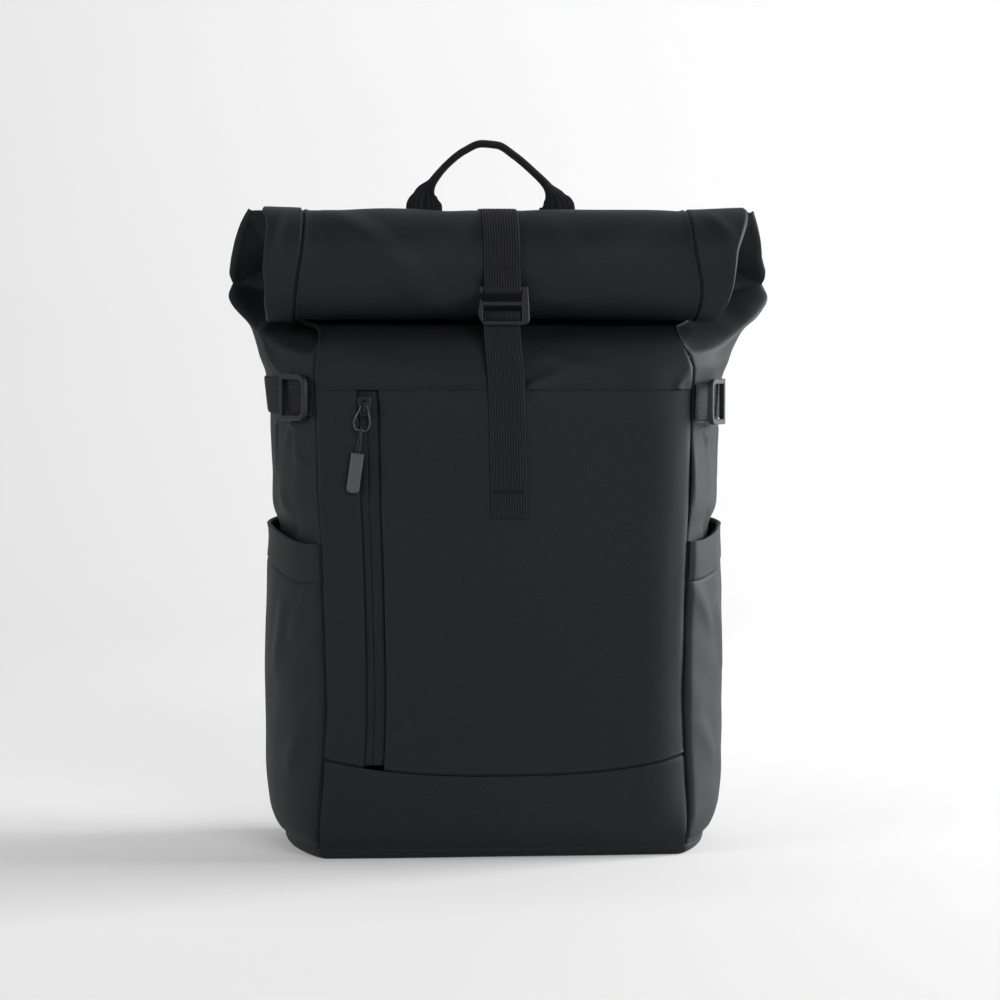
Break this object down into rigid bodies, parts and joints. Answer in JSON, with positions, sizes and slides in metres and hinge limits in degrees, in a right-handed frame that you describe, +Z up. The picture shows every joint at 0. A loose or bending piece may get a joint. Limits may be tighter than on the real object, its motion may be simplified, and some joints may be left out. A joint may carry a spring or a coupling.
{
  "type": "rolltop backpack",
  "caption": "Upright backpack with a rolled top held by a webbing strap and hook, a zipped front pocket, open side pockets, a haul handle and padded shoulder straps.",
  "frame": {"origin": "centre of the sewn body at the height of the floor", "axes": "+Z up, -Y out of the bag's front, +X to the right of a viewer who faces the front"},
  "size_m": [0.3858, 0.2315, 0.4925],
  "materials": {
    "coated_cloth": "matte coated weave",
    "webbing": "ribbed weave",
    "spacer_mesh": "knitted mesh",
    "moulded_plastic": "satin",
    "coated_metal": "satin black, worn at the edges",
    "zip_coil": "coil",
    "pull_rubber": "matte"
  },
  "bodies": {
    "root": {"front_panel": "coated_cloth", "zip_side_strip": "coated_cloth", "front_base_panel": "coated_cloth", "yoke_panel": "coated_cloth", "back_panel": "coated_cloth", "gusset_left": "coated_cloth", "gusset_right": "coated_cloth", "base_panel": "coated_cloth", "rolled_closure": "coated_cloth", "closure_strap": "webbing", "hook": "coated_metal", "hook_loop_strap": "webbing", "side_band_left": "webbing", "side_loop_left": "moulded_plastic", "side_pocket_left": "coated_cloth", "pocket_hem_left": "coated_cloth", "side_band_right": "webbing", "side_loop_right": "moulded_plastic", "side_pocket_right": "coated_cloth", "pocket_hem_right": "coated_cloth", "zip_tape": "zip_coil", "zip_slider": "coated_metal", "zip_wire_loop": "coated_metal", "zip_cord": "webbing", "zip_tab": "pull_rubber", "haul_handle": "webbing", "back_pad": "spacer_mesh", "shoulder_strap_left": "spacer_mesh", "shoulder_strap_right": "spacer_mesh", "strap_adjuster_left": "moulded_plastic", "strap_adjuster_right": "moulded_plastic", "strap_tab_left": "webbing", "strap_tab_right": "webbing", "adjuster_webbing_left": "webbing", "adjuster_webbing_right": "webbing"}
  },
  "joints": []
}
